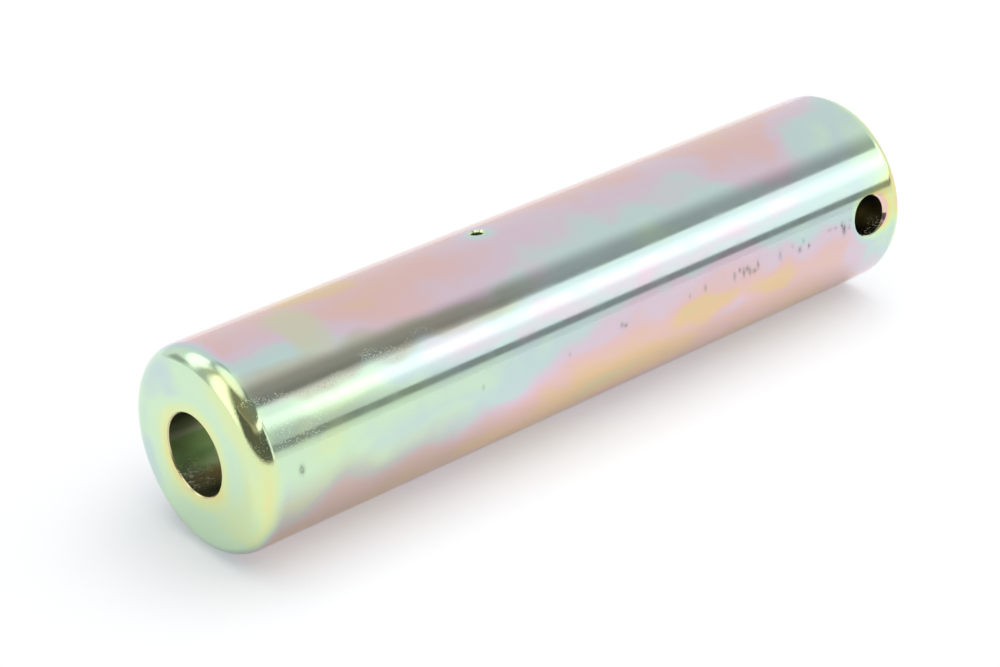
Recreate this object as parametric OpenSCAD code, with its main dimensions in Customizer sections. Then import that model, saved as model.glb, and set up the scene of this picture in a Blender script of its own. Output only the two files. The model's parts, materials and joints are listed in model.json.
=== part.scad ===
// Pivot pin for a greased joint, turned and drilled from one round steel bar.
// It stands on its plain end: +Z runs up the axis, towards the greased end.
// The grease outlet faces +X, and the cross hole runs along Y.

/* [Shank] */
// Diameter of the shank, which turns in its bushes
shank_d = 50; // [46:1:80]
// Overall length of the pin, from face to face
pin_length = 205; // [170:5:400]

/* [Greased end] */
// Radius of the round lip between the face and the shank
lip_radius = 5; // [1:0.5:8]
// Diameter of the recess that shelters the grease nipple
recess_d = 20; // [16:0.5:26]
// Depth of the recess, down to the nipple's seat
recess_depth = 20; // [12:1:40]
// Width of the broken edge round the mouth of the recess
recess_edge = 0.3; // [0.1:0.1:1]

/* [Nipple port] */
// Diameter of the drilling that is tapped for the nipple
port_d = 9; // [8:0.1:12]
// Depth of the port below the floor of the recess
port_depth = 12; // [8:1:20]
// Width of the lead-in at the mouth of the port
port_edge = 0.6; // [0.2:0.1:1]

/* [Grease way] */
// Diameter of the gallery that is drilled down the axis
gallery_d = 5; // [3:0.5:7]
// Length of full gallery past the centre of the outlet
gallery_overrun = 4; // [2:0.5:8]
// Diameter of the outlet in the side of the shank
outlet_d = 3; // [2:0.5:6]
// Distance of the outlet's centre from the greased face
outlet_from_face = 86; // [66:1:120]
// Depth of the outlet's countersink
outlet_edge = 0.5; // [0.2:0.1:1]

/* [Plain end] */
// Radius of the tool that rounds off the plain end
lead_radius = 5; // [5:0.5:12]
// Length of shank that this round takes up
lead_length = 2.5; // [1:0.5:4]

/* [Cross hole] */
// Diameter of the hole for the locking bolt
cross_d = 10.5; // [8:0.5:13]
// Distance of the hole's centre from the plain end's face
cross_from_base = 11; // [11:1:30]
// Depth of the countersink at both mouths of the hole
cross_edge = 0.8; // [0.6:0.1:1.2]

/* [Hidden] */
$fn = 96;
// Angle of a twist drill's point
drill_point = 118;
// Every cutter runs on this far outside the metal
overcut = 1;
shank_r = shank_d / 2;
outlet_z = pin_length - outlet_from_face;
seat_z = pin_length - recess_depth;
gallery_end_z = outlet_z - gallery_overrun;

// What a form tool of this radius turns away outside its arc, whose centre is the origin
module corner_waste(radius) {
    difference() {
        square(radius + overcut);
        circle(radius);
    }
}

// Half section of the bar: a full round lip at the top and a shallow round at the bottom
module bar_profile() {
    difference() {
        square([shank_r, pin_length]);
        translate([shank_r - lip_radius, pin_length - lip_radius])
            corner_waste(lip_radius);
        translate([shank_r - lead_radius, lead_length])
            mirror([0, 1])
                corner_waste(lead_radius);
    }
}

// Hole down the axis from mouth_z, with its edge broken at 45 degrees
module axial_hole(d, mouth_z, depth, edge) {
    translate([0, 0, mouth_z - depth])
        cylinder(h = depth + overcut, d = d);
    translate([0, 0, mouth_z - edge])
        cylinder(h = edge + overcut, r1 = d / 2, r2 = d / 2 + edge + overcut);
}

// Cone that the point of a drill leaves below bottom_z
module drilled_bottom(d, bottom_z) {
    tip = d / 2 / tan(drill_point / 2);
    translate([0, 0, bottom_z - tip])
        cylinder(h = tip, r1 = 0, r2 = d / 2);
}

// Port in the floor of the recess, drilled to size for the nipple's thread
module nipple_port() {
    axial_hole(port_d, seat_z, port_depth, port_edge);
    drilled_bottom(port_d, seat_z - port_depth);
}

// Gallery from the port down past the outlet
module gallery() {
    translate([0, 0, gallery_end_z])
        cylinder(h = seat_z - gallery_end_z, d = gallery_d);
    drilled_bottom(gallery_d, gallery_end_z);
}

// Cone at 45 degrees that breaks the edge of a hole in the shank's +X side
module side_countersink(d, edge) {
    translate([shank_r - edge, 0, 0])
        rotate([0, 90, 0])
            cylinder(h = edge + overcut, r1 = d / 2, r2 = d / 2 + edge + overcut);
}

// Grease outlet, from the gallery out through the +X side
module outlet() {
    rotate([0, 90, 0])
        cylinder(h = shank_r + overcut, d = outlet_d);
    side_countersink(outlet_d, outlet_edge);
}

// Bolt hole straight through the shank along Y
module cross_hole() {
    rotate([90, 0, 0])
        cylinder(h = shank_d + 2 * overcut, d = cross_d, center = true);
    for (side = [-90, 90])
        rotate([0, 0, side])
            side_countersink(cross_d, cross_edge);
}

module pivot_pin() {
    color([0.75, 0.75, 0.68])
        difference() {
            rotate_extrude()
                bar_profile();
            axial_hole(recess_d, pin_length, recess_depth, recess_edge);
            nipple_port();
            gallery();
            translate([0, 0, outlet_z])
                outlet();
            translate([0, 0, cross_from_base])
                cross_hole();
        }
}

pivot_pin();
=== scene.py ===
"""Looks of a zinc-plated pivot pin: its skin with nicks, its plating, the studio and the camera"""

import json
import math

import bmesh
import bpy
import numpy as np
from mathutils import Matrix, Vector


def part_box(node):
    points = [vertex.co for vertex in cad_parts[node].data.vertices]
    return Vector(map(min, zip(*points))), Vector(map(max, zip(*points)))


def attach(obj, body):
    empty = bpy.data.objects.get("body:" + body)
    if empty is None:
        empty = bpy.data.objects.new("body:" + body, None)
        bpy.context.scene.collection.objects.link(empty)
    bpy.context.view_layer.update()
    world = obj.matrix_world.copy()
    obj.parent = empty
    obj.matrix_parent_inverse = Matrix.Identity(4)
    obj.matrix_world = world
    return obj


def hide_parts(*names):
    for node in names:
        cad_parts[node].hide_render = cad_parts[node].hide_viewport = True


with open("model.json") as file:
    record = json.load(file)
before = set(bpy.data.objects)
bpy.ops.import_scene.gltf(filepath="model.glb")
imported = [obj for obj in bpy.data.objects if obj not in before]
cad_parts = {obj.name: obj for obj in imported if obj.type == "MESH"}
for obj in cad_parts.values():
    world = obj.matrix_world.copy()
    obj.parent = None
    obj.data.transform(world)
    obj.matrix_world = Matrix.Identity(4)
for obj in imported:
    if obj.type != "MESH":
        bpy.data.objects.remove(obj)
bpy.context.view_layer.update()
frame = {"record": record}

# Sizes in metres, which come from the frame's mounts where it states them
MM = 0.001
NODE = "pivot_pin"
mounts = {m["name"]: m for m in frame["record"]["mounts"]}


def radius_of(mount):
    return mounts[mount]["dims"]["r_mm"] * MM


def length_of(mount):
    return mounts[mount]["dims"]["length_mm"] * MM


def height_of(mount):
    return mounts[mount]["pos_m"][2]


PIN_R = radius_of("shank")
PIN_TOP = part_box(NODE)[1].z
SHANK_LOW = height_of("shank") - length_of("shank") / 2
SHANK_HIGH = height_of("shank") + length_of("shank") / 2
LIP_R = PIN_TOP - SHANK_HIGH
LEAD_R = 5 * MM
RECESS_R = radius_of("grease_recess")
RECESS_EDGE = 0.3 * MM
SEAT_Z = PIN_TOP - length_of("grease_recess") - RECESS_EDGE
PORT_R = radius_of("nipple_port")
PORT_EDGE = 0.6 * MM
PORT_END = SEAT_Z - length_of("nipple_port") - PORT_EDGE
GALLERY_R = 2.5 * MM
OUTLET_R = radius_of("grease_outlet")
OUTLET_Z = height_of("grease_outlet")
OUTLET_EDGE = 0.5 * MM
GALLERY_END = OUTLET_Z - 4 * MM
CROSS_R = radius_of("cross_hole")
CROSS_Z = height_of("cross_hole")
CROSS_EDGE = PIN_R - length_of("cross_hole") / 2
DRILL_HALF_ANGLE = math.radians(59)

# Material slots of the skin
PLATED, BORED = 0, 1

# Columns of the turned skin, finer along the nicks and round the side holes: (from, to, steps) in degrees
COLUMN_BANDS = [
    (-108, -94, 14), (-94, -86, 32), (-86, -72, 14), (-72, -8, 32), (-8, 8, 12), (8, 72, 32),
    (72, 108, 24), (108, 252, 36),
]
# Rows of the shank, finer where it is nicked: (from, to, steps) in millimetres
ROW_BANDS = [
    (2.5, 3, 1), (3, 19, 20), (19, 28, 36), (28, 33, 5), (33, 46, 52), (46, 51, 5), (51, 62, 44),
    (62, 69, 4), (69, 77, 32), (77, 96, 8), (96, 100, 16), (100, 114, 5), (114, 115.5, 6),
    (115.5, 122.5, 12), (122.5, 140, 6), (140, 144, 12), (144, 192, 16), (192, 197, 20), (197, 200, 2),
]


def banded(bands, unit):
    """Ordered values that run through each band in its own number of steps"""
    values = [np.linspace(low, high, steps, endpoint=False) for low, high, steps in bands]
    return np.append(np.concatenate(values), bands[-1][1]) * unit


COLUMNS = banded(COLUMN_BANDS, math.radians(1))
ROWS = banded(ROW_BANDS, MM)
# Steps round a side hole and rings down its wall
HOLE_STEPS = 96
HOLE_RINGS = 25
# Steps along the turned ends' flats and rounds, and rows down the walls of the drilled holes
FLAT_STEPS = 12
LEAD_STEPS = 10
LIP_STEPS = 32
SEAT_STEPS = 6
CONE_STEPS = 2
RECESS_ROWS = 21
PORT_ROWS = 7
GALLERY_ROWS = (3, 9, 20)
# The windows that side holes leave in a round wall: half their angle, and half their height in metres
CROSS_WINDOW = (math.radians(18), 8 * MM)
OUTLET_WINDOW = (math.radians(8), 3.5 * MM)
GALLERY_WINDOW = (math.radians(50), 2.5 * MM)
# Rings between a side hole's mouth and its window, as shares of the mouth's reach
MOUTH_RINGS = [1, 1.02, 1.06, 1.12, 1.2]
# Rounds of nearing that find the mouth's reach
MOUTH_ROUNDS = 25
# Corners nearer than this are one, and slopes are measured over this step
WELD = 2e-6
SLOPE_STEP = 0.01 * MM
# Angles and heights closer than this count as equal
NEAR = 1e-6
# A corner whose turn is weaker than this doesn't say which way its face looks
WEAK_TURN = 1e-16

# Nicks in the shank: (angle in degrees, height, length along the axis, width and depth in millimetres,
# and how dark the dirt in it is, from 0 to 1)
NICKS = [
    (-91.6, 193.9, 1.4, 2.3, 0.20, 0.75),
    (-90.3, 141.8, 0.9, 1.3, 0.05, 0.30),
    (-93.4, 115.2, 0.9, 1.2, 0.05, 0.25),
    (-89.4, 98.4, 1.0, 1.5, 0.10, 0.45),
    (-90.7, 97.2, 1.4, 1.2, 0.10, 0.50),
    (-90.3, 75.8, 0.9, 1.3, 0.05, 0.30),
    (-89.4, 70.5, 1.0, 1.8, 0.08, 0.45),
    (-90.3, 60.4, 0.9, 2.1, 0.10, 0.60),
    (-88.1, 58.5, 0.9, 1.3, 0.10, 0.60),
    (-90.5, 57.2, 0.9, 2.4, 0.12, 0.70),
    (-89.2, 55.9, 1.3, 1.5, 0.12, 0.65),
    (-91.5, 55.1, 0.9, 1.7, 0.12, 0.70),
    (-92.1, 53.6, 1.4, 1.3, 0.12, 0.65),
    (-89.4, 52.2, 0.9, 2.1, 0.12, 0.60),
    (-90.0, 44.3, 1.3, 2.4, 0.06, 0.38),
    (-87.5, 39.8, 1.0, 1.2, 0.05, 0.25),
    (-91.6, 37.3, 1.3, 1.7, 0.08, 0.55),
    (-87.5, 35.8, 1.0, 1.4, 0.05, 0.30),
    (-91.6, 34.0, 0.8, 1.3, 0.08, 0.70),
    (-87.8, 26.2, 2.0, 0.9, 0.05, 0.30),
    (-88.1, 24.0, 1.4, 0.9, 0.05, 0.30),
    (-88.0, 21.7, 0.9, 1.5, 0.08, 0.55),
    (-91.0, 21.0, 1.4, 2.8, 0.16, 0.80),
    (-91.3, 19.2, 0.9, 1.4, 0.05, 0.35),
    (-87.2, 18.6, 1.4, 0.9, 0.05, 0.25),
]
# The attribute that carries the dirt to the plating's material, and how deep below the shank it reaches
DIRT = "dirt"
DIRT_REACH = 0.5 * MM


def nick_share(angle, height, nick):
    """How far into a nick points of the shank are, from 0 outside to 1 at its middle"""
    at, up, long, wide = nick[:4]
    across = (angle - math.radians(at)) * PIN_R / (wide * MM / 2)
    along = (height - up * MM) / (long * MM / 2)
    return np.exp(-(across**2 + along**2))


def dent(angle, height):
    """Depth of the nicks at points of the shank, in metres"""
    return sum(nick[4] * MM * nick_share(angle, height, nick) for nick in NICKS)


def dirt(angle, height):
    """Dirt in the nicks at points of the shank, from 0 to 1"""
    return np.minimum(sum(nick[5] * nick_share(angle, height, nick) for nick in NICKS), 1)


def worn_shank(angle, height):
    """Points and normals of the nicked shank at arrays of angles and heights"""
    depth = dent(angle, height)
    slope_round = (dent(angle + SLOPE_STEP / PIN_R, height) - depth) / SLOPE_STEP
    slope_up = (dent(angle, height + SLOPE_STEP) - depth) / SLOPE_STEP
    outward = np.stack([np.cos(angle), np.sin(angle), np.zeros_like(angle)], -1)
    sideways = np.stack([-np.sin(angle), np.cos(angle), np.zeros_like(angle)], -1)
    points = outward * (PIN_R - depth)[..., None]
    points[..., 2] = height
    normals = outward + sideways * slope_round[..., None]
    normals[..., 2] += slope_up
    return points, normals / np.linalg.norm(normals, axis=-1, keepdims=True)


def plain_wall(radius, facing):
    """A function like worn_shank for a plain round wall that faces out (1) or in (-1)"""

    def at(angle, height):
        normals = np.stack([np.cos(angle), np.sin(angle), np.zeros_like(angle)], -1)
        points = normals * radius
        points[..., 2] = height
        return points, normals * facing

    return at


def corner_turn(points, face, corner, normal):
    """Above zero where a face, seen at one of its corners, looks along a normal"""
    to_next = points[face[corner + 1]] - points[face[corner]]
    to_last = points[face[-1]] - points[face[corner]]
    return np.cross(to_next, to_last) @ normal


class Skin:
    """Sheets of faces in which each corner carries the normal of the true surface"""

    def __init__(self):
        self.points, self.normals, self.faces, self.slots = [], [], [], []
        self.count = 0

    def add(self, points, normals, faces, slot):
        """Faces are lists of indices into points. Each is turned to face along its normals."""
        facing = np.array([corner_turn(points, face, 0, normals[face[0]]) for face in faces])
        for k in np.nonzero(np.abs(facing) < WEAK_TURN)[0]:
            facing[k] = corner_turn(points, faces[k], 1, normals[faces[k][2]])
        for face, way in zip(faces, facing):
            ordered = face if way >= 0 else face[::-1]
            self.faces.append([self.count + i for i in ordered])
        self.slots += [slot] * len(faces)
        self.points.append(points)
        self.normals.append(normals)
        self.count += len(points)

    def sheet(self, points, normals, slot, keep=None):
        """A grid of rows by columns. keep says which of its cells are made."""
        rows, columns = points.shape[:2]
        index = np.arange(rows * columns).reshape(rows, columns)
        corners = [index[:-1, :-1], index[1:, :-1], index[1:, 1:], index[:-1, 1:]]
        quads = np.stack(corners, -1)
        quads = quads[keep] if keep is not None else quads.reshape(-1, 4)
        self.add(points.reshape(-1, 3), normals.reshape(-1, 3), quads.tolist(), slot)

    def stitch(self, inner, outer, inner_turn, outer_turn, slot):
        """Triangles between two closed rings, each (points, normals), in order of their turn"""
        points = np.concatenate([inner[0], outer[0]])
        normals = np.concatenate([inner[1], outer[1]])
        m, n = len(inner_turn), len(outer_turn)
        i_order, o_order = np.argsort(inner_turn), np.argsort(outer_turn)
        i_turn = np.append(inner_turn[i_order], inner_turn[i_order[0]] + 2 * math.pi)
        o_turn = np.append(outer_turn[o_order], outer_turn[o_order[0]] + 2 * math.pi)
        faces, i, o = [], 0, 0
        while i < m or o < n:
            a, b = int(i_order[i % m]), m + int(o_order[o % n])
            if o == n or (i < m and i_turn[i + 1] <= o_turn[o + 1]):
                faces.append([a, int(i_order[(i + 1) % m]), b])
                i += 1
            else:
                faces.append([a, m + int(o_order[(o + 1) % n]), b])
                o += 1
        self.add(points, normals, faces, slot)

    def object(self, name, materials):
        """The welded mesh as an object, shaded by the true normals"""
        mesh = bpy.data.meshes.new(name)
        mesh.from_pydata(np.concatenate(self.points).tolist(), [], self.faces)
        for material in materials:
            mesh.materials.append(material)
        mesh.polygons.foreach_set("material_index", self.slots)
        corner = mesh.attributes.new("true_normal", "FLOAT_VECTOR", "CORNER")
        order = np.zeros(len(mesh.loops), np.int32)
        mesh.loops.foreach_get("vertex_index", order)
        corner_normals = np.concatenate(self.normals)[order].astype(np.float32)
        corner.data.foreach_set("vector", corner_normals.ravel())
        work = bmesh.new()
        work.from_mesh(mesh)
        bmesh.ops.remove_doubles(work, verts=work.verts, dist=WELD)
        work.to_mesh(mesh)
        work.free()
        normals = np.zeros(len(mesh.loops) * 3, np.float32)
        mesh.attributes["true_normal"].data.foreach_get("vector", normals)
        mesh.polygons.foreach_set("use_smooth", [True] * len(mesh.polygons))
        mesh.normals_split_custom_set(normals.reshape(-1, 3))
        mesh.attributes.remove(mesh.attributes["true_normal"])
        spots = np.zeros(len(mesh.vertices) * 3, np.float32)
        mesh.vertices.foreach_get("co", spots)
        x, y, z = spots.reshape(-1, 3).T
        outside = np.hypot(x, y) > PIN_R - DIRT_REACH
        dirty = np.where(outside, dirt(np.arctan2(y, x), z), 0).astype(np.float32)
        mesh.attributes.new(DIRT, "FLOAT", "POINT").data.foreach_set("value", dirty)
        mesh.update()
        piece = bpy.data.objects.new(name, mesh)
        bpy.context.scene.collection.objects.link(piece)
        return piece


def turned(skin, rows, slot):
    """A turned surface through rows of (radius, height, outward and upward share of the normal)"""
    radius, height, outward, upward = np.array(rows, float).T[:, :, None]
    cos, sin = np.cos(COLUMNS)[None], np.sin(COLUMNS)[None]
    flat = np.ones_like(cos)
    points = np.stack([radius * cos, radius * sin, height * flat], -1)
    normals = np.stack([outward * cos, outward * sin, upward * flat], -1)
    skin.sheet(points, normals, slot)


def arc_rows(middle_r, middle_z, radius, start, end, steps):
    """Rows of a rounded edge, from start to end in radians above the horizontal"""
    rows = []
    for turn in np.linspace(start, end, steps + 1):
        cos, sin = math.cos(turn), math.sin(turn)
        rows.append((middle_r + radius * cos, middle_z + radius * sin, cos, sin))
    return rows


def level_rows(inner, outer, height, facing, steps=FLAT_STEPS):
    """Rows of a level ring that faces up (1) or down (-1)"""
    return [(r, height, 0, facing) for r in np.linspace(inner, outer, steps + 1)]


def cone_rows(start, end, steps=1):
    """Rows of a cone that faces the axis and upwards, between two (radius, height) ends"""
    run, rise = end[0] - start[0], end[1] - start[1]
    size = math.hypot(run, rise)
    outward, upward = -abs(rise) / size, abs(run) / size
    shares = np.linspace(0, 1, steps + 1)
    return [(start[0] + run * s, start[1] + rise * s, outward, upward) for s in shares]


def upright_rows(radius, low, high, count):
    """Rows of a bored wall, which faces the axis"""
    return [(radius, height, -1, 0) for height in np.linspace(low, high, count)]


def hole_turns():
    """The angles of a side hole's columns round its own axis"""
    return np.linspace(0, 2 * math.pi, HOLE_STEPS, endpoint=False)


def mouth_reach(turn, hole_r, edge):
    """Distance from a side hole's axis to its countersunk mouth in the round shank"""
    reach = np.full_like(turn, hole_r + edge)
    for _ in range(MOUTH_ROUNDS):
        drop = PIN_R - np.sqrt(PIN_R**2 - (reach * np.cos(turn)) ** 2)
        reach = hole_r + edge - drop
    return reach


def wall(skin, surface, radius, rows, columns, windows, slot):
    """A round wall with windows for its side holes

    Each window is (angle, height, half its angle, half its height, its mouth's reach).
    """
    angle, height = np.meshgrid(columns, rows)
    points, normals = surface(angle, height)
    mid_angle = (columns[1:] + columns[:-1])[None] / 2
    mid_height = (rows[1:] + rows[:-1])[:, None] / 2
    keep = np.ones((len(rows) - 1, len(columns) - 1), bool)
    for at, up, half_angle, half_height, _ in windows:
        keep &= ~((np.abs(mid_angle - at) < half_angle) & (np.abs(mid_height - up) < half_height))
    skin.sheet(points, normals, slot, keep)
    for window in windows:
        mouth_patch(skin, surface, radius, rows, columns, window, slot)


def mouth_patch(skin, surface, radius, rows, columns, window, slot):
    """Rings that lead from a side hole's mouth out to its window in the wall"""
    at, up, half_angle, half_height, reach = window
    turn = hole_turns()
    out = np.array(MOUTH_RINGS)[:, None] * reach
    ring_angle = at + np.arcsin(out * np.cos(turn) / radius)
    ring_height = up + out * np.sin(turn)
    points, normals = surface(ring_angle, ring_height)
    wrap = np.append(np.arange(HOLE_STEPS), 0)
    skin.sheet(points[:, wrap], normals[:, wrap], slot)
    inside_angle = columns[np.abs(columns - at) < half_angle + NEAR]
    inside_height = rows[np.abs(rows - up) < half_height + NEAR][1:-1]
    sides = [np.full_like(inside_height, side) for side in inside_angle[[0, -1]]]
    ends = [np.full_like(inside_angle, end) for end in (up - half_height, up + half_height)]
    edge_angle = np.concatenate([inside_angle, inside_angle] + sides)
    edge_height = np.concatenate(ends + [inside_height, inside_height])
    edge = surface(edge_angle, edge_height)
    edge_turn = np.arctan2(edge_height - up, radius * (edge_angle - at)) % (2 * math.pi)
    ring_turn = np.arctan2(ring_height[-1] - up, radius * (ring_angle[-1] - at)) % (2 * math.pi)
    skin.stitch((points[-1], normals[-1]), edge, ring_turn, edge_turn, slot)


def side_ring(at, up, out, across, upward, along):
    """A ring round a side hole's axis: out from the pin's axis, across and upward, and its normals"""
    cos, sin = math.cos(at), math.sin(at)
    points = np.stack([out * cos - across * sin, out * sin + across * cos, up + upward], -1)
    turn = np.arctan2(upward, across)
    size = math.hypot(1, along)
    n_out, n_across = np.full_like(turn, along) / size, -np.cos(turn) / size
    n_up = -np.sin(turn) / size
    normals = np.stack([n_out * cos - n_across * sin, n_out * sin + n_across * cos, n_up], -1)
    return points, normals


def side_hole(skin, at, up, hole_r, edge, inner_out):
    """Countersink and wall of a hole in the shank's side, in as far as inner_out from the pin's axis"""
    turn = np.append(hole_turns(), 0)
    cos, sin = np.cos(turn), np.sin(turn)
    reach = mouth_reach(turn, hole_r, edge)
    top = side_ring(at, up, np.sqrt(PIN_R**2 - (reach * cos) ** 2), reach * cos, reach * sin, 1)
    low = side_ring(at, up, np.full_like(turn, PIN_R - edge), hole_r * cos, hole_r * sin, 1)
    skin.sheet(np.stack([top[0], low[0]]), np.stack([top[1], low[1]]), PLATED)
    start = np.full_like(turn, PIN_R - edge)
    end = np.broadcast_to(inner_out(hole_r * cos), turn.shape)
    rings = []
    for share in np.linspace(0, 1, HOLE_RINGS):
        rings.append(side_ring(at, up, start + (end - start) * share, hole_r * cos, hole_r * sin, 0))
    skin.sheet(np.stack([r[0] for r in rings]), np.stack([r[1] for r in rings]), BORED)


def pin_skin(materials):
    """The whole skin of the pin as one closed mesh"""
    skin = Skin()
    front, back = math.radians(-90), math.radians(90)
    turn = hole_turns()
    cross_reach = mouth_reach(turn, CROSS_R, CROSS_EDGE)
    outlet_reach = mouth_reach(turn, OUTLET_R, OUTLET_EDGE)
    windows = [
        (front, CROSS_Z, *CROSS_WINDOW, cross_reach),
        (back, CROSS_Z, *CROSS_WINDOW, cross_reach),
        (0, OUTLET_Z, *OUTLET_WINDOW, outlet_reach),
    ]
    wall(skin, worn_shank, PIN_R, ROWS, COLUMNS, windows, PLATED)
    side_hole(skin, front, CROSS_Z, CROSS_R, CROSS_EDGE, lambda across: 0)
    side_hole(skin, back, CROSS_Z, CROSS_R, CROSS_EDGE, lambda across: 0)
    side_hole(skin, 0, OUTLET_Z, OUTLET_R, OUTLET_EDGE, lambda across: np.sqrt(GALLERY_R**2 - across**2))

    lead_drop = math.asin(SHANK_LOW / LEAD_R)
    base_r = PIN_R - LEAD_R + LEAD_R * math.cos(lead_drop)
    turned(skin, level_rows(0, base_r, 0, -1), PLATED)
    turned(skin, arc_rows(PIN_R - LEAD_R, SHANK_LOW, LEAD_R, -lead_drop, 0, LEAD_STEPS), PLATED)
    turned(skin, arc_rows(PIN_R - LIP_R, SHANK_HIGH, LIP_R, 0, math.pi / 2, LIP_STEPS), PLATED)
    turned(skin, level_rows(RECESS_R + RECESS_EDGE, PIN_R - LIP_R, PIN_TOP, 1), PLATED)
    mouth = (RECESS_R + RECESS_EDGE, PIN_TOP)
    turned(skin, cone_rows(mouth, (RECESS_R, PIN_TOP - RECESS_EDGE)), BORED)
    turned(skin, upright_rows(RECESS_R, PIN_TOP - RECESS_EDGE, SEAT_Z, RECESS_ROWS), BORED)
    turned(skin, level_rows(PORT_R + PORT_EDGE, RECESS_R, SEAT_Z, 1, SEAT_STEPS), BORED)
    turned(skin, cone_rows((PORT_R + PORT_EDGE, SEAT_Z), (PORT_R, SEAT_Z - PORT_EDGE)), BORED)
    turned(skin, upright_rows(PORT_R, SEAT_Z - PORT_EDGE, PORT_END, PORT_ROWS), BORED)
    gallery_top = PORT_END - (PORT_R - GALLERY_R) / math.tan(DRILL_HALF_ANGLE)
    turned(skin, cone_rows((PORT_R, PORT_END), (GALLERY_R, gallery_top), CONE_STEPS), BORED)

    window_low = OUTLET_Z - GALLERY_WINDOW[1]
    window_high = OUTLET_Z + GALLERY_WINDOW[1]
    below, beside, above = GALLERY_ROWS
    rows = np.concatenate([
        np.linspace(GALLERY_END, window_low, below),
        np.linspace(window_low, window_high, beside)[1:],
        np.linspace(window_high, gallery_top, above)[1:],
    ])
    inner = [(0, OUTLET_Z, *GALLERY_WINDOW, np.full_like(turn, OUTLET_R))]
    wall(skin, plain_wall(GALLERY_R, -1), GALLERY_R, rows, COLUMNS, inner, BORED)
    tip = (0, GALLERY_END - GALLERY_R / math.tan(DRILL_HALF_ANGLE))
    turned(skin, cone_rows((GALLERY_R, GALLERY_END), tip, CONE_STEPS), BORED)
    return skin.object("pin_body", materials)


class Graph:
    """A node tree that is written as a formula: sockets and numbers go in, a socket comes out"""

    def __init__(self, tree):
        self.tree = tree
        tree.nodes.clear()

    def node(self, kind, inputs=None, **settings):
        made = self.tree.nodes.new(kind)
        for name, value in settings.items():
            setattr(made, name, value)
        for key, value in (inputs or {}).items():
            self.feed(made.inputs[key], value)
        return made

    def feed(self, socket, value):
        if isinstance(value, bpy.types.NodeSocket):
            self.tree.links.new(value, socket)
        else:
            socket.default_value = value

    def math(self, operation, *values, clamp=False):
        settings = {"operation": operation, "use_clamp": clamp}
        return self.node("ShaderNodeMath", dict(enumerate(values)), **settings).outputs[0]

    def vector(self, operation, *values):
        made = self.node("ShaderNodeVectorMath", dict(enumerate(values)), operation=operation)
        scalar = operation in ("DOT_PRODUCT", "LENGTH", "DISTANCE")
        return made.outputs["Value" if scalar else "Vector"]

    def scaled(self, vector, factor):
        made = self.node("ShaderNodeVectorMath", {"Vector": vector, "Scale": factor}, operation="SCALE")
        return made.outputs["Vector"]

    def separate(self, vector):
        return self.node("ShaderNodeSeparateXYZ", {"Vector": vector}).outputs

    def combine(self, **axes):
        return self.node("ShaderNodeCombineXYZ", axes).outputs[0]

    def noise(self, vector, scale, detail=2.0, roughness=0.5, distortion=0.0):
        inputs = {
            "Vector": vector, "Scale": scale, "Detail": detail, "Roughness": roughness,
            "Distortion": distortion,
        }
        return self.node("ShaderNodeTexNoise", inputs).outputs["Fac"]

    def remap(self, value, low, high, new_low=0.0, new_high=1.0, smooth=True):
        settings = {"interpolation_type": "SMOOTHSTEP" if smooth else "LINEAR", "clamp": True}
        inputs = {
            "Value": value, "From Min": low, "From Max": high, "To Min": new_low, "To Max": new_high,
        }
        return self.node("ShaderNodeMapRange", inputs, **settings).outputs["Result"]

    def total(self, values):
        result = values[0]
        for value in values[1:]:
            result = self.math("ADD", result, value)
        return result

    def ramp(self, value, stops):
        made = self.node("ShaderNodeValToRGB", {"Fac": value})
        made.color_ramp.interpolation = "EASE"
        while len(made.color_ramp.elements) < len(stops):
            made.color_ramp.elements.new(0.5)
        for element, (place, colour) in zip(made.color_ramp.elements, stops):
            element.position = place
            element.color = (*colour, 1)
        return made.outputs["Color"]

    def mix(self, share, a, b, kind="FLOAT"):
        made = self.node("ShaderNodeMix", data_type=kind)
        self.feed(made.inputs["Factor"], share)
        self.feed(made.inputs["A"], a)
        self.feed(made.inputs["B"], b)
        return made.outputs["Result"]

    def tinted(self, share, colour, tint):
        return self.mix(share, colour, (*tint, 1), kind="RGBA")

    def bump(self, height, strength, distance, **under):
        inputs = {"Strength": strength, "Distance": distance, "Height": height, **under}
        return self.node("ShaderNodeBump", inputs).outputs[0]

    def metal(self, colour, rough, normal):
        shader = self.node("ShaderNodeBsdfPrincipled", {
            "Base Color": colour, "Metallic": 1.0, "Roughness": rough, "Normal": normal,
        })
        self.node("ShaderNodeOutputMaterial", {"Surface": shader.outputs[0]})


def linear(value):
    """A display value from 0 to 255 as linear light, by the display's standard curve"""
    share = value / 255
    return ((share + 0.055) / 1.055) ** 2.4 if share > 0.04045 else share / 12.92


def srgb(red, green, blue):
    return linear(red), linear(green), linear(blue)


def material(name):
    made = bpy.data.materials.new(name)
    made.use_nodes = True
    return made, Graph(made.node_tree)


# The passivate film's colours from thin to thick, as shares of the range below
FILM_COLOURS = [
    (0.00, srgb(210, 198, 156)),
    (0.11, srgb(222, 194, 154)),
    (0.255, srgb(221, 189, 186)),
    (0.39, srgb(214, 196, 208)),
    (0.53, srgb(192, 213, 211)),
    (0.665, srgb(203, 230, 197)),
    (0.80, srgb(217, 231, 174)),
    (0.90, srgb(230, 222, 150)),
    (1.00, srgb(230, 200, 186)),
]
FILM_RANGE = (0.42, 1.74)
# The film is thickest on two opposite sides: one of them, as an angle round the axis, then the film's mean
# and its swing round the axis
THICK_SIDE = math.radians(-62.7)
FILM_MEAN = 0.88
FILM_SWING = 0.24
# Clouds in that film: scale, stretch, distortion and swing
CLOUD_SCALE = 60.0
CLOUD_STRETCH = (1.0, 1.0, 0.7)
CLOUD_DISTORTION = 0.3
CLOUD_SWING = 0.44
# How a soft noise shifts the film, so that its edges waver
WAVER_SCALE = 90.0
WAVER_REACH = 9 * MM
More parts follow.
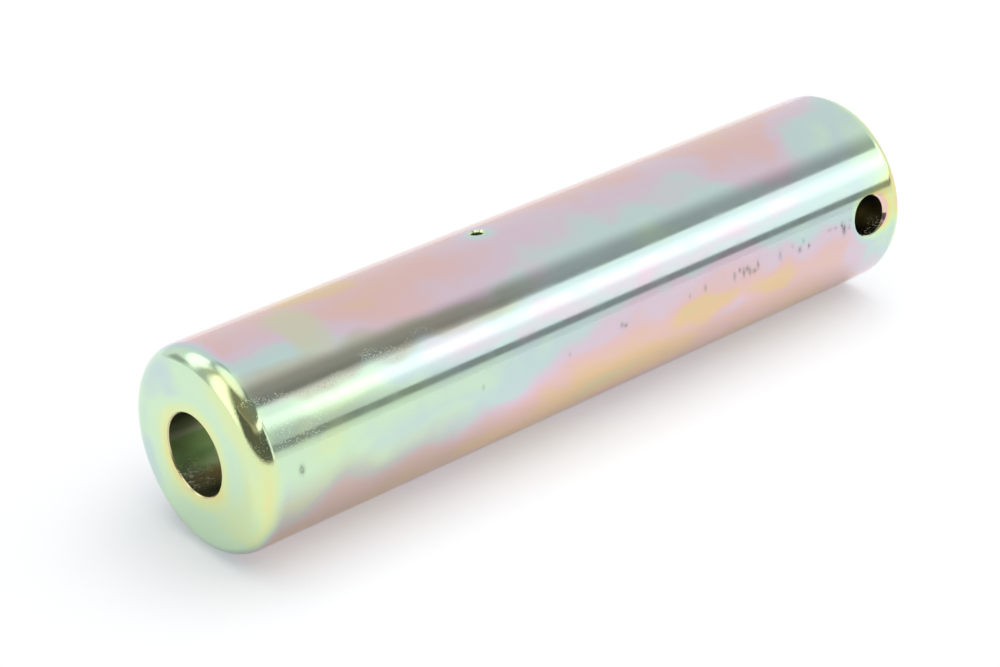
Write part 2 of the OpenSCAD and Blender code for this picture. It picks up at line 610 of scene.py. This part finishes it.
# The greased face's film and its clouds, where it takes over from the shank's film, and its ring round
# the recess
END_FILM = 1.27
END_CLOUD_SCALE = 80.0
END_CLOUD_SWING = 0.24
FACE_SPAN = (SHANK_HIGH - 2 * MM, PIN_TOP - 1.5 * MM)
RING_FILM = 0.26
RING_REACH = 5 * MM
# The side of the lip where the film is thicker, how far round and how far out that is, the film added
# there, and its gain at the pin's edge
LIP_SIDE = math.radians(-80)
LIP_SIDE_SPAN = (0.15 * PIN_R, 0.85 * PIN_R)
LIP_SPAN = (RECESS_R + 3 * MM, PIN_R - LIP_R + 1 * MM)
LIP_FILM = 0.18
LIP_EDGE_GAIN = 1.8
# The film is thicker at the plain end too, over two heights
LOW_END_FILM = 0.20
LOW_SPANS = [(0, 14 * MM), (0.5 * MM, 2.5 * MM)]
# Film added round the side holes: (from, to, film), with the distances measured from the hole's middle
CROSS_HALO = (CROSS_R, CROSS_R + 3 * MM, 0.25)
OUTLET_HALOS = [(OUTLET_R, OUTLET_R + 6 * MM, 0.25), (OUTLET_R + 0.2 * MM, OUTLET_R + 0.8 * MM, 0.4)]
# Soft stains where the film is thicker or thinner: (angle in degrees, height in millimetres, reach round
# in degrees, reach along in millimetres, change in film)
STAINS = [
    (12, 100, 30, 130, 0.08),
    (-104, 168, 10, 34, 0.10),
    (-64, 190, 12, 18, 0.12),
    (6, 165, 14, 9, -0.20),
    (-28, 146, 26, 24, -0.20),
    (-26, 75, 16, 55, 0.03),
    (-22, 106, 26, 14, 0.08),
    (-36, 74, 16, 22, 0.08),
    (-25, 41, 22, 12, -0.13),
    (-22, 20, 20, 8, 0.16),
    (-92, 196, 20, 18, 0.14),
    (-90, 170, 22, 38, 0.18),
    (-90, 128, 16, 22, 0.06),
    (-91, 78, 14, 36, -0.16),
    (-66, 100, 8, 60, -0.12),
    (-114, 100, 16, 28, -0.20),
    (-103, 70, 9, 12, -0.22),
    (-103, 45, 9, 9, -0.22),
    (-109, 62, 6, 7, 0.16),
    (-108, 36, 18, 26, -0.12),
    (-108, 10, 16, 9, 0.22),
    (-132, 125, 14, 50, -0.08),
    (-86, 4, 16, 6, 0.33),
    (-117, 197, 12, 9, 0.32),
    (-34, 195, 14, 11, 0.12),
    (-122, 3, 30, 8, 0.12),
]
# Stains on the greased face, written in the same way but with the distance from the axis as the height
FACE_STAINS = [
    (100, 13.5, 60, 4, 0.09),
    (180, 15, 55, 7, 0.07),
    (-140, 18, 40, 6, 0.03),
    (108, 19.5, 24, 4, -0.10),
    (38, 18, 30, 5, -0.09),
]
# Tints on the shank, each with its colour, and patches of fine pits, written as the stains are. The tints
# at -20, -47 and -51 degrees are tones of the plating; those at -65 and -73 degrees are painted shade over
# the reflected bright strip and dark line near the lip, and the one at -122 degrees is a painted reflection
# of the pin's shadow on the floor.
HAZES_AND_PAINTED_SHADE = [
    ((-20, 179, 20, 5.5, 0.8), srgb(203, 206, 177)),
    ((-47, 184, 10, 34, 0.8), srgb(186, 182, 160)),
    # Painted shade: dims the reflected bright strip next to the lip
    ((-65, 199, 9, 9, 0.6), srgb(184, 212, 182)),
    # Painted shade: widens the reflected dark line next to the lip
    ((-73, 190, 5, 24, 0.5), srgb(176, 196, 186)),
    ((-51, 145, 7, 24, 0.8), srgb(184, 185, 165)),
    # Painted reflection of the pin's shadow on the floor: darkens the lower side near the greased end
    ((-122, 184, 24, 44, 0.6), srgb(180, 164, 150)),
]
PITTED = [
    (-54, 170, 2.4, 22, 0.7),
    (-54, 197, 2.6, 7, 1.0),
    (-71, 192, 6, 12, 0.35),
    (-60, 203, 50, 3, 0.2),
]
# The squared distance, in reaches, at which a spot of any kind has faded out
SPOT_END = 1.9
# The turned and ground surface: scales of the lathe marks and the grain, the marks' share, and the
# strength and depth of their bump
LATHE_SCALE = 5200.0
GRAIN_SCALE = 900.0
LATHE_SHARE = 0.5
GRAIN_BUMP = (0.08, 0.02 * MM)
# Fine pits: their scale, how far wear widens them, where the noise becomes a pit, and their bump
PIT_SCALE = 2600.0
PIT_WEAR = 0.05
PIT_EDGE = (0.62, 0.72)
PIT_BUMP = (0.8, 0.03 * MM)
# The plate's roughness: the scale of its noise, that noise's span, and the roughness over that span
ROUGH_SCALE = 160.0
ROUGH_SPAN = (0.3, 0.7)
PLATE_ROUGH = (0.07, 0.13)
# Dirt in the nicks: its colour and roughness, and the noise that breaks it up, from one span to another
DIRT_COLOUR = srgb(112, 114, 110)
DIRT_ROUGH = 0.45
DIRT_SCALE = 2200.0
DIRT_SPAN = (0.35, 0.62)
DIRT_SWING = (0.55, 1.25)
# The share that each finer layer of a rough noise keeps of the layer before it
COARSE = 0.6


def way_out(angle):
    """The direction that leads straight out from the pin's axis at an angle"""
    return (math.cos(angle), math.sin(angle), 0)


def soft_spot(g, way, height, spot):
    """A spot that fades out from its middle, written as a stain is"""
    angle, up, reach_round, reach_along, strength = spot
    spread = 1 / (1 - math.cos(math.radians(reach_round)))
    near = g.vector("DOT_PRODUCT", way, way_out(math.radians(angle)))
    across = g.math("MULTIPLY_ADD", near, -spread, spread)
    along = g.math("MULTIPLY_ADD", height, 1 / (reach_along * MM), -up / reach_along)
    away = g.math("MULTIPLY_ADD", along, along, across)
    return g.remap(away, 0, SPOT_END, strength, 0)


def wavered(g, place):
    """Places shifted a little by a soft noise"""
    noise = g.node("ShaderNodeTexNoise", {"Vector": place, "Scale": WAVER_SCALE, "Detail": 1.0})
    shift = g.vector("SUBTRACT", noise.outputs["Color"], (0.5, 0.5, 0.5))
    return g.vector("ADD", place, g.scaled(shift, WAVER_REACH))


def film_on_shank(g, way, place, height):
    """Film thickness over the shank: two thick sides, soft stains and clouds"""
    facing = g.vector("DOT_PRODUCT", way, way_out(THICK_SIDE))
    double = g.math("MULTIPLY_ADD", g.math("MULTIPLY", facing, facing), 2.0, -1.0)
    film = [g.math("MULTIPLY_ADD", double, FILM_SWING, FILM_MEAN)]
    film += [soft_spot(g, way, height, stain) for stain in STAINS]
    stretched = g.vector("MULTIPLY", place, CLOUD_STRETCH)
    cloud = g.noise(stretched, CLOUD_SCALE, distortion=CLOUD_DISTORTION)
    film.append(g.math("MULTIPLY_ADD", cloud, CLOUD_SWING, -CLOUD_SWING / 2))
    return g.total(film)


def film_on_face(g, way, place, flat, radius):
    """Film thickness over the greased face: clouds, the recess's ring, one side of the lip, and stains"""
    cloud = g.noise(place, END_CLOUD_SCALE)
    film = [g.math("MULTIPLY_ADD", cloud, END_CLOUD_SWING, END_FILM - END_CLOUD_SWING / 2)]
    film.append(g.remap(radius, RECESS_R, RECESS_R + RING_REACH, RING_FILM, 0))
    toward = g.vector("DOT_PRODUCT", flat, way_out(LIP_SIDE))
    lip = g.math("MULTIPLY", g.remap(toward, *LIP_SIDE_SPAN, 0, LIP_FILM), g.remap(radius, *LIP_SPAN))
    outer = g.remap(radius, PIN_R - LIP_R / 2, PIN_R, 1, LIP_EDGE_GAIN)
    film.append(g.math("MULTIPLY", lip, outer))
    film += [soft_spot(g, way, radius, stain) for stain in FACE_STAINS]
    return g.total(film)


def film_at_edges(g, place, parts):
    """Thicker film at the plain end and round the side holes"""
    film = [g.remap(parts["Z"], *span, LOW_END_FILM, 0) for span in LOW_SPANS]
    across = g.combine(X=parts["X"], Z=parts["Z"])
    rim = g.vector("DISTANCE", across, (0, 0, CROSS_Z))
    film.append(g.remap(rim, *CROSS_HALO, 0))
    mouth = g.vector("DISTANCE", place, (PIN_R, 0, OUTLET_Z))
    film += [g.remap(mouth, *halo, 0) for halo in OUTLET_HALOS]
    return film


def ground_surface(g, way, place, parts, radius):
    """The normal of the ground shank and the turned ends, with fine pits where they are worn"""
    lathe = g.noise(g.combine(X=radius, Y=parts["Z"]), LATHE_SCALE, detail=3.0, roughness=COARSE)
    grain = g.noise(place, GRAIN_SCALE)
    ground = g.bump(g.total([g.math("MULTIPLY", lathe, LATHE_SHARE), grain]), *GRAIN_BUMP)
    worn = g.total([soft_spot(g, way, parts["Z"], patch) for patch in PITTED])
    uneven = g.math("MULTIPLY_ADD", worn, PIT_WEAR, g.noise(place, PIT_SCALE, detail=1.0))
    pits = g.math("MULTIPLY", g.remap(uneven, *PIT_EDGE), worn)
    return g.bump(pits, *PIT_BUMP, Normal=ground)


def plated_steel():
    """Bright zinc plate under an iridescent passivate, on a turned and ground surface"""
    made, g = material("plated_steel")
    place = g.node("ShaderNodeTexCoord").outputs["Object"]
    parts = g.separate(place)
    wavy = g.separate(wavered(g, place))
    flat = g.combine(X=wavy["X"], Y=wavy["Y"])
    way = g.vector("NORMALIZE", flat)
    radius = g.vector("LENGTH", g.combine(X=parts["X"], Y=parts["Y"]))
    top = g.remap(parts["Z"], *FACE_SPAN)
    shank_film = film_on_shank(g, way, place, wavy["Z"])
    face_film = film_on_face(g, way, place, flat, radius)
    film = g.total([g.mix(top, shank_film, face_film)] + film_at_edges(g, place, parts))
    colour = g.ramp(g.remap(film, *FILM_RANGE, smooth=False), FILM_COLOURS)
    # Tints over the shank: some are tones of the plating, others are painted shade and a painted reflection
    # of the pin's shadow
    for haze_and_shade, tint in HAZES_AND_PAINTED_SHADE:
        share = g.math("MULTIPLY", soft_spot(g, way, wavy["Z"], haze_and_shade), g.math("SUBTRACT", 1.0, top))
        colour = g.tinted(share, colour, tint)
    polish = g.noise(place, ROUGH_SCALE, detail=3.0, roughness=COARSE)
    rough = g.remap(polish, *ROUGH_SPAN, *PLATE_ROUGH, smooth=False)
    soiled = g.node("ShaderNodeAttribute", attribute_name=DIRT).outputs["Fac"]
    broken = g.remap(g.noise(place, DIRT_SCALE, detail=2.0, roughness=COARSE), *DIRT_SPAN, *DIRT_SWING)
    soiled = g.math("MULTIPLY", soiled, broken, clamp=True)
    colour = g.tinted(soiled, colour, DIRT_COLOUR)
    rough = g.mix(soiled, rough, DIRT_ROUGH)
    g.metal(colour, rough, ground_surface(g, way, place, parts, radius))
    return made


# The drilled walls: their colour in the recess, the scale of their clouds, and their roughness where they
# are smooth and where they are scratched
BORED_COLOUR = srgb(224, 232, 212)
BORED_CLOUD_SCALE = 200.0
BORED_ROUGH = (0.24, 0.6)
# Tints on the wall of the grease recess: (angle round the axis in degrees, reach, colour), and how uneven
# their edges are
RECESS_TINTS = [
    (106, 34, srgb(196, 224, 178)),
    (34, 36, srgb(192, 172, 144)),
    (168, 38, srgb(228, 222, 204)),
    (81, 9, srgb(252, 252, 244)),
]
TINT_SWING = 0.8
# The colour at the recess's mouth, and the heights between which it sets in
RECESS_RIM = srgb(214, 206, 158)
RIM_SPAN = (PIN_TOP - 1.2 * RECESS_EDGE, PIN_TOP - RECESS_EDGE)
# The cross hole's own colours, and the heights between which they give way to the recess's
CROSS_COLOURS = [(0.4, srgb(176, 172, 144)), (0.6, srgb(202, 196, 170))]
CROSS_SPAN = (CROSS_Z + CROSS_R, 2 * (CROSS_Z + CROSS_R))
# Marks that the drill left: stretch, scale and bump
DRILL_STRETCH = (1.0, 1.0, 14.0)
DRILL_SCALE = 700.0
DRILL_BUMP = (0.25, 0.03 * MM)
# Scratches: their colour and bump, then (stretch, scale, edge) of the noise that makes them in each hole
SCRATCH_COLOUR = srgb(246, 244, 232)
SCRATCH_BUMP = (0.8, 0.08 * MM)
RECESS_SCRATCHES = ((1.0, 1.0, 0.3), 3000.0, (0.58, 0.68))
CROSS_SCRATCHES = ((1.0, 0.6, 1.0), 2400.0, (0.60, 0.65))
# The scratched patch of the recess's wall, written as the stains are
SCRATCHED = (144, 201.5, 22, 4, 0.8)
# The scratched place on the cross hole's wall, how far the scratches reach from it, and their strength
CROSS_SCRATCHED = (-0.85 * CROSS_R, 2 * MM - PIN_R, CROSS_Z - 0.5 * CROSS_R)
CROSS_SCRATCH_REACH = (1.5 * MM, 4 * MM)
CROSS_SCRATCH_SHARE = 0.9


def scratch_lines(g, place, lines):
    """Fine lines, written as (stretch, scale, edge)"""
    stretch, scale, edge = lines
    return g.remap(g.noise(g.vector("MULTIPLY", place, stretch), scale, detail=1.0), *edge)


def scratches(g, way, place, height):
    """Scratches in one patch of the recess's wall and in one place on the cross hole's"""
    in_recess = soft_spot(g, way, height, SCRATCHED)
    recess = g.math("MULTIPLY", scratch_lines(g, place, RECESS_SCRATCHES), in_recess)
    away = g.vector("DISTANCE", place, CROSS_SCRATCHED)
    in_cross = g.remap(away, *CROSS_SCRATCH_REACH, CROSS_SCRATCH_SHARE, 0)
    return g.math("MULTIPLY_ADD", in_cross, scratch_lines(g, place, CROSS_SCRATCHES), recess)


def bored_steel():
    """Thinly plated, darker walls of the drilled holes"""
    made, g = material("bored_steel")
    place = g.node("ShaderNodeTexCoord").outputs["Object"]
    parts = g.separate(place)
    way = g.vector("NORMALIZE", g.combine(X=parts["X"], Y=parts["Y"]))
    cloud = g.noise(place, BORED_CLOUD_SCALE, detail=3.0, roughness=COARSE)
    colour = (*BORED_COLOUR, 1)
    for angle, reach, tint in RECESS_TINTS:
        edge = math.cos(math.radians(reach))
        swing = TINT_SWING * (1 - edge)
        facing = g.vector("DOT_PRODUCT", way, way_out(math.radians(angle)))
        uneven = g.math("MULTIPLY_ADD", cloud, swing, -swing / 2)
        colour = g.tinted(g.remap(g.math("ADD", facing, uneven), edge, 1), colour, tint)
    colour = g.tinted(g.remap(parts["Z"], *RIM_SPAN), colour, RECESS_RIM)
    bare = g.ramp(cloud, CROSS_COLOURS)
    colour = g.mix(g.remap(parts["Z"], *CROSS_SPAN), bare, colour, kind="RGBA")
    drilled = g.noise(g.vector("MULTIPLY", place, DRILL_STRETCH), DRILL_SCALE, detail=2.0, roughness=COARSE)
    scratched = scratches(g, way, place, parts["Z"])
    normal = g.bump(scratched, *SCRATCH_BUMP, Normal=g.bump(drilled, *DRILL_BUMP))
    colour = g.tinted(scratched, colour, SCRATCH_COLOUR)
    g.metal(colour, g.remap(scratched, 0, 1, *BORED_ROUGH, smooth=False), normal)
    return made


# The studio. Its floor is the plane that the pin lies on in the photo, and its bearings turn about that
# floor's normal.
FLOOR_TURN = math.radians(-9.3)
FLOOR_UP = Vector((math.cos(FLOOR_TURN), math.sin(FLOOR_TURN), 0))
CAMERA_AT = Vector((0.24407, -0.47606, 0.49324))
CAMERA_AIM = Vector((-0.00458, 0.00485, 0.11161))
CAMERA_LENS = 98.4
SENSOR = 36.0
FLOOR_REACH = 1.5
# The floor's own light and whiteness, as the camera sees them and as the pin reflects them
FLOOR_GLOW = (0.37, 0.21)
FLOOR_WHITE = (0.78, 1.0)
# The tint of that own light, which keeps the pin's shadow a plain grey
GLOW_TINT = (0.97, 1.0, 1.045)
# What the pin reflects between the panels below
CEILING = 0.92
# Light on matt surfaces comes from high up, leaning to the camera's right: the lean and its bearing from
# behind the camera, the light's level far from there and there, and where it changes, in degrees
KEY_LEAN = math.radians(12)
KEY_BEARING = math.radians(95)
LOW_LIGHT, HIGH_LIGHT = 0.10, 2.0
LIGHT_EDGE = (36, 66)

# Bright and dark panels round the pin, as seen in it. Each has its ends as a bearing from behind the camera
# (plus is to its right) and their softness, its low and its high edge as an elevation at either end, the
# softness of those edges, and its light. Angles are in degrees, and later panels cover earlier ones.
PANELS = {
    "zenith": ((-210, 210, 5), (72, 72), (120, 120), 8, 1.3),
    "room_below": ((-44, 61, 5), (1, 1), (35, 35), 4, 0.13),
    "room_above": ((-44, 102, 8), (34, 34), (68, 68), 5, 0.25),
    "right_shade": ((93, 114, 12), (34, 34), (67, 67), 5, 0.46),
    "left_box": ((-78, -52, 7), (0, 0), (60, 60), 9, 1.6),
    "left_gap": ((-92, -80, 4), (0, 0), (62, 62), 8, 0.55),
    "far_left_box": ((-132, -94, 6), (36, 10), (62, 48), 6, 1.6),
    "far_left_foot": ((-122, -100, 6), (1, 1), (14, 14), 4, 0.45),
    "back_arc": ((-150, -84, 8), (61, 58), (68, 66), 3, 0.6),
    "back_left_patch": ((-210, -155, 8), (58, 60), (68, 70), 4, 0.6),
    "back_right_patch": ((155, 210, 8), (60, 58), (70, 68), 4, 0.6),
    "behind_glow": ((0, 30, 8), (27, 32), (34, 39), 3, 0.5),
    "behind_strip": ((28, 88, 8), (33, 37), (40, 46), 1.5, 1.6),
    "window_side": ((62, 76, 3), (3, 3), (34, 34), 3, 0.72),
    "window_frame": ((59, 69, 2), (1, 1), (34, 34), 3, 1.2),
    "right_window": ((75.5, 120, 2.5), (12.1, 5.4), (45.9, 29.4), 0.5, 1.26),
    "window_middle": ((83, 120, 6), (12, 8), (40, 28), 3, 1.35),
    "window_core": ((76, 120, 4), (25, 18), (36, 25), 4, 1.75),
    "right_line": ((70, 100, 3), (5.8, 3.6), (12.9, 8.4), 0.5, 0.34),
}


def panel_share(g, bearing, rise, ends, low, high, soft):
    """How much of a panel is seen in a direction, from 0 outside it to 1 inside"""
    left, right, side_soft = ends
    share = g.math(
        "MULTIPLY",
        g.remap(bearing, left - side_soft, left + side_soft),
        g.remap(bearing, right - side_soft, right + side_soft, 1, 0),
    )
    edges = []
    for at_left, at_right in (low, high):
        slant = (at_left - at_right) / (right - left)
        edges.append((g.math("MULTIPLY_ADD", bearing, slant, rise), at_left + slant * left))
    (over_low, low_at), (over_high, high_at) = edges
    between = g.math(
        "MULTIPLY",
        g.remap(over_low, low_at - soft, low_at + soft),
        g.remap(over_high, high_at - soft, high_at + soft, 1, 0),
    )
    return g.math("MULTIPLY", share, between)


def studio_world():
    """Light on matt surfaces, the panels that the pin reflects, and a white background for the camera"""
    world = bpy.data.worlds.new("studio")
    bpy.context.scene.world = world
    world.use_nodes = True
    g = Graph(world.node_tree)
    ray = g.node("ShaderNodeTexCoord").outputs["Generated"]
    forward = CAMERA_AIM - CAMERA_AT
    level = (forward - forward.dot(FLOOR_UP) * FLOOR_UP).normalized()
    right = level.cross(FLOOR_UP)
    rise = g.math("DEGREES", g.math("ARCSINE", g.vector("DOT_PRODUCT", ray, tuple(FLOOR_UP))))
    aside = g.vector("DOT_PRODUCT", ray, tuple(right))
    behind = g.vector("DOT_PRODUCT", ray, tuple(-level))
    bearing = g.math("DEGREES", g.math("ARCTAN2", aside, behind))
    reflected = CEILING
    for ends, low, high, soft, strength in PANELS.values():
        reflected = g.mix(panel_share(g, bearing, rise, ends, low, high, soft), reflected, strength)
    side = right * math.sin(KEY_BEARING) - level * math.cos(KEY_BEARING)
    key = FLOOR_UP * math.cos(KEY_LEAN) + side * math.sin(KEY_LEAN)
    key_rise = g.math("DEGREES", g.math("ARCSINE", g.vector("DOT_PRODUCT", ray, tuple(key))))
    light = g.remap(key_rise, *LIGHT_EDGE, LOW_LIGHT, HIGH_LIGHT)
    path = g.node("ShaderNodeLightPath").outputs
    plain = g.mix(path["Is Camera Ray"], light, 1.0)
    first = g.math("LESS_THAN", path["Diffuse Depth"], 0.5)
    shown = g.mix(g.math("MULTIPLY", path["Is Glossy Ray"], first), plain, reflected)
    back = g.node("ShaderNodeBackground", {"Color": (1, 1, 1, 1), "Strength": shown})
    g.node("ShaderNodeOutputWorld", {"Surface": back.outputs[0]})


def floor():
    """A plain pale floor that shows only from its upper side and keeps the pin's shadow"""
    made, g = material("pale_floor")
    path = g.node("ShaderNodeLightPath").outputs
    mirrored = path["Is Glossy Ray"]
    white = g.remap(mirrored, 0, 1, *FLOOR_WHITE, smooth=False)
    white = g.node("ShaderNodeCombineColor", {"Red": white, "Green": white, "Blue": white})
    matt = g.node("ShaderNodeBsdfDiffuse", {"Color": white.outputs[0]})
    seen = g.math("MULTIPLY", path["Is Camera Ray"], FLOOR_GLOW[0])
    own = g.math("MULTIPLY_ADD", mirrored, FLOOR_GLOW[1], seen)
    glow = g.node("ShaderNodeEmission", {"Color": (*GLOW_TINT, 1), "Strength": own})
    lit = g.node("ShaderNodeAddShader", {0: matt.outputs[0], 1: glow.outputs[0]})
    clear = g.node("ShaderNodeBsdfTransparent")
    back = g.node("ShaderNodeNewGeometry").outputs["Backfacing"]
    both = g.node("ShaderNodeMixShader", {0: back, 1: lit.outputs[0], 2: clear.outputs[0]})
    g.node("ShaderNodeOutputMaterial", {"Surface": both.outputs[0]})
    corners = [(-1, -1), (1, -1), (1, 1), (-1, 1)]
    mesh = bpy.data.meshes.new("floor")
    mesh.from_pydata([(x * FLOOR_REACH, y * FLOOR_REACH, 0) for x, y in corners], [], [(0, 1, 2, 3)])
    mesh.materials.append(made)
    plane = bpy.data.objects.new("floor", mesh)
    bpy.context.scene.collection.objects.link(plane)
    plane.rotation_mode = "QUATERNION"
    plane.rotation_quaternion = FLOOR_UP.to_track_quat("Z", "Y")
    plane.location = -FLOOR_UP * PIN_R + Vector((0, 0, PIN_TOP / 2))


def camera():
    """The photo's camera"""
    made = bpy.data.objects.new("camera", bpy.data.cameras.new("camera"))
    bpy.context.scene.collection.objects.link(made)
    made.data.lens = CAMERA_LENS
    made.data.sensor_width = SENSOR
    forward = (CAMERA_AIM - CAMERA_AT).normalized()
    right = forward.cross(FLOOR_UP).normalized()
    up = right.cross(forward)
    turn = Matrix((right, up, -forward)).transposed().to_4x4()
    made.matrix_world = Matrix.Translation(CAMERA_AT) @ turn
    bpy.context.scene.camera = made


pin = pin_skin([plated_steel(), bored_steel()])
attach(pin, "root")
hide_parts(NODE)
studio_world()
floor()
camera()
bpy.context.scene.view_settings.view_transform = "Standard"
